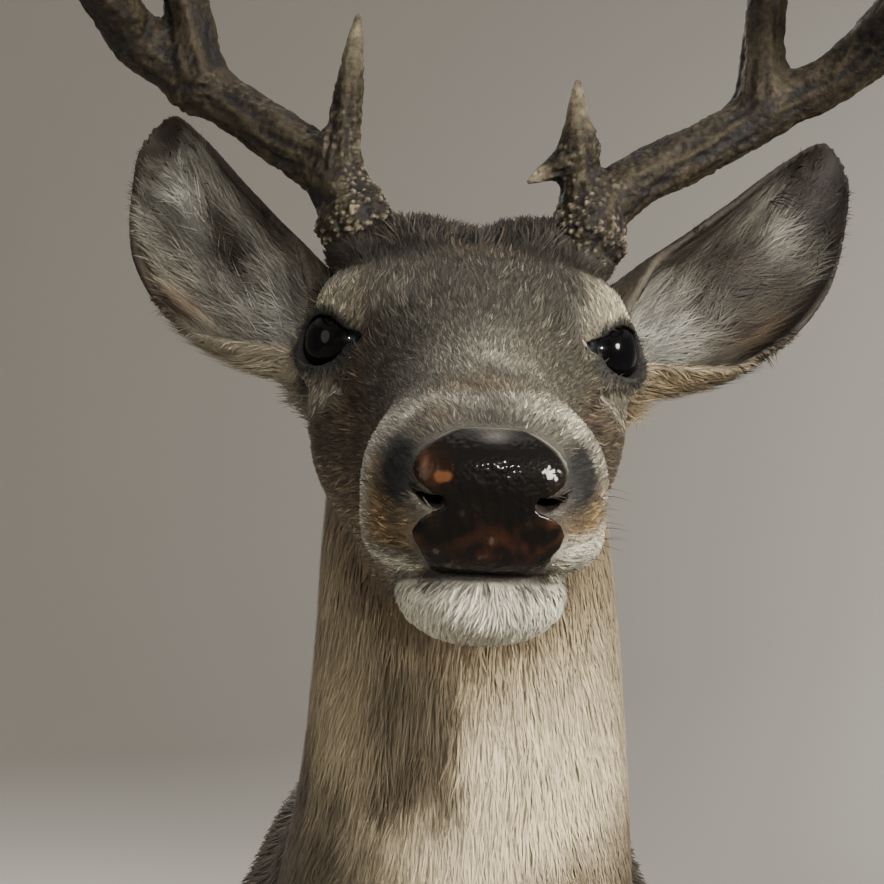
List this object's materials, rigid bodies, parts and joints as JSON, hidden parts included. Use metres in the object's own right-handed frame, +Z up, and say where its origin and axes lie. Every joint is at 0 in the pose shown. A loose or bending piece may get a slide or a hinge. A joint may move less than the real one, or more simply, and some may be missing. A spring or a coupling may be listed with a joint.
{
  "type": "deer shoulder mount",
  "caption": "Taxidermy head, neck and shoulders of an antlered whitetail buck, facing out from a flat back that hangs on a wall.",
  "frame": {"origin": "centre of the backboard's flat back face, in the plane of the wall", "axes": "+Y into the wall, so the buck looks along -Y; +X to the animal's own left; +Z up"},
  "size_m": [0.4404, 0.5295, 0.8157],
  "materials": {
    "hide": "haired hide, matte",
    "nose": "glossy, pebbled",
    "eye": "polished dark eye",
    "antler": "bone-like, grooved",
    "board": "bare plywood"
  },
  "bodies": {
    "root": {"head": "hide", "muzzle": "hide", "lower_jaw": "hide", "neck": "hide", "shoulders": "hide", "ear_left": "hide", "ear_right": "hide", "nose_pad": "nose", "eye_left": "eye", "eye_right": "eye", "antler_left_beam_base": "antler", "antler_left_beam_middle": "antler", "antler_left_beam_tip": "antler", "antler_left_brow_tine": "antler", "antler_left_g2": "antler", "antler_left_g3": "antler", "antler_left_kicker": "antler", "antler_right_beam_base": "antler", "antler_right_beam_middle": "antler", "antler_right_beam_tip": "antler", "antler_right_brow_tine": "antler", "antler_right_g2": "antler", "antler_right_g3": "antler", "backboard": "board"}
  },
  "joints": []
}
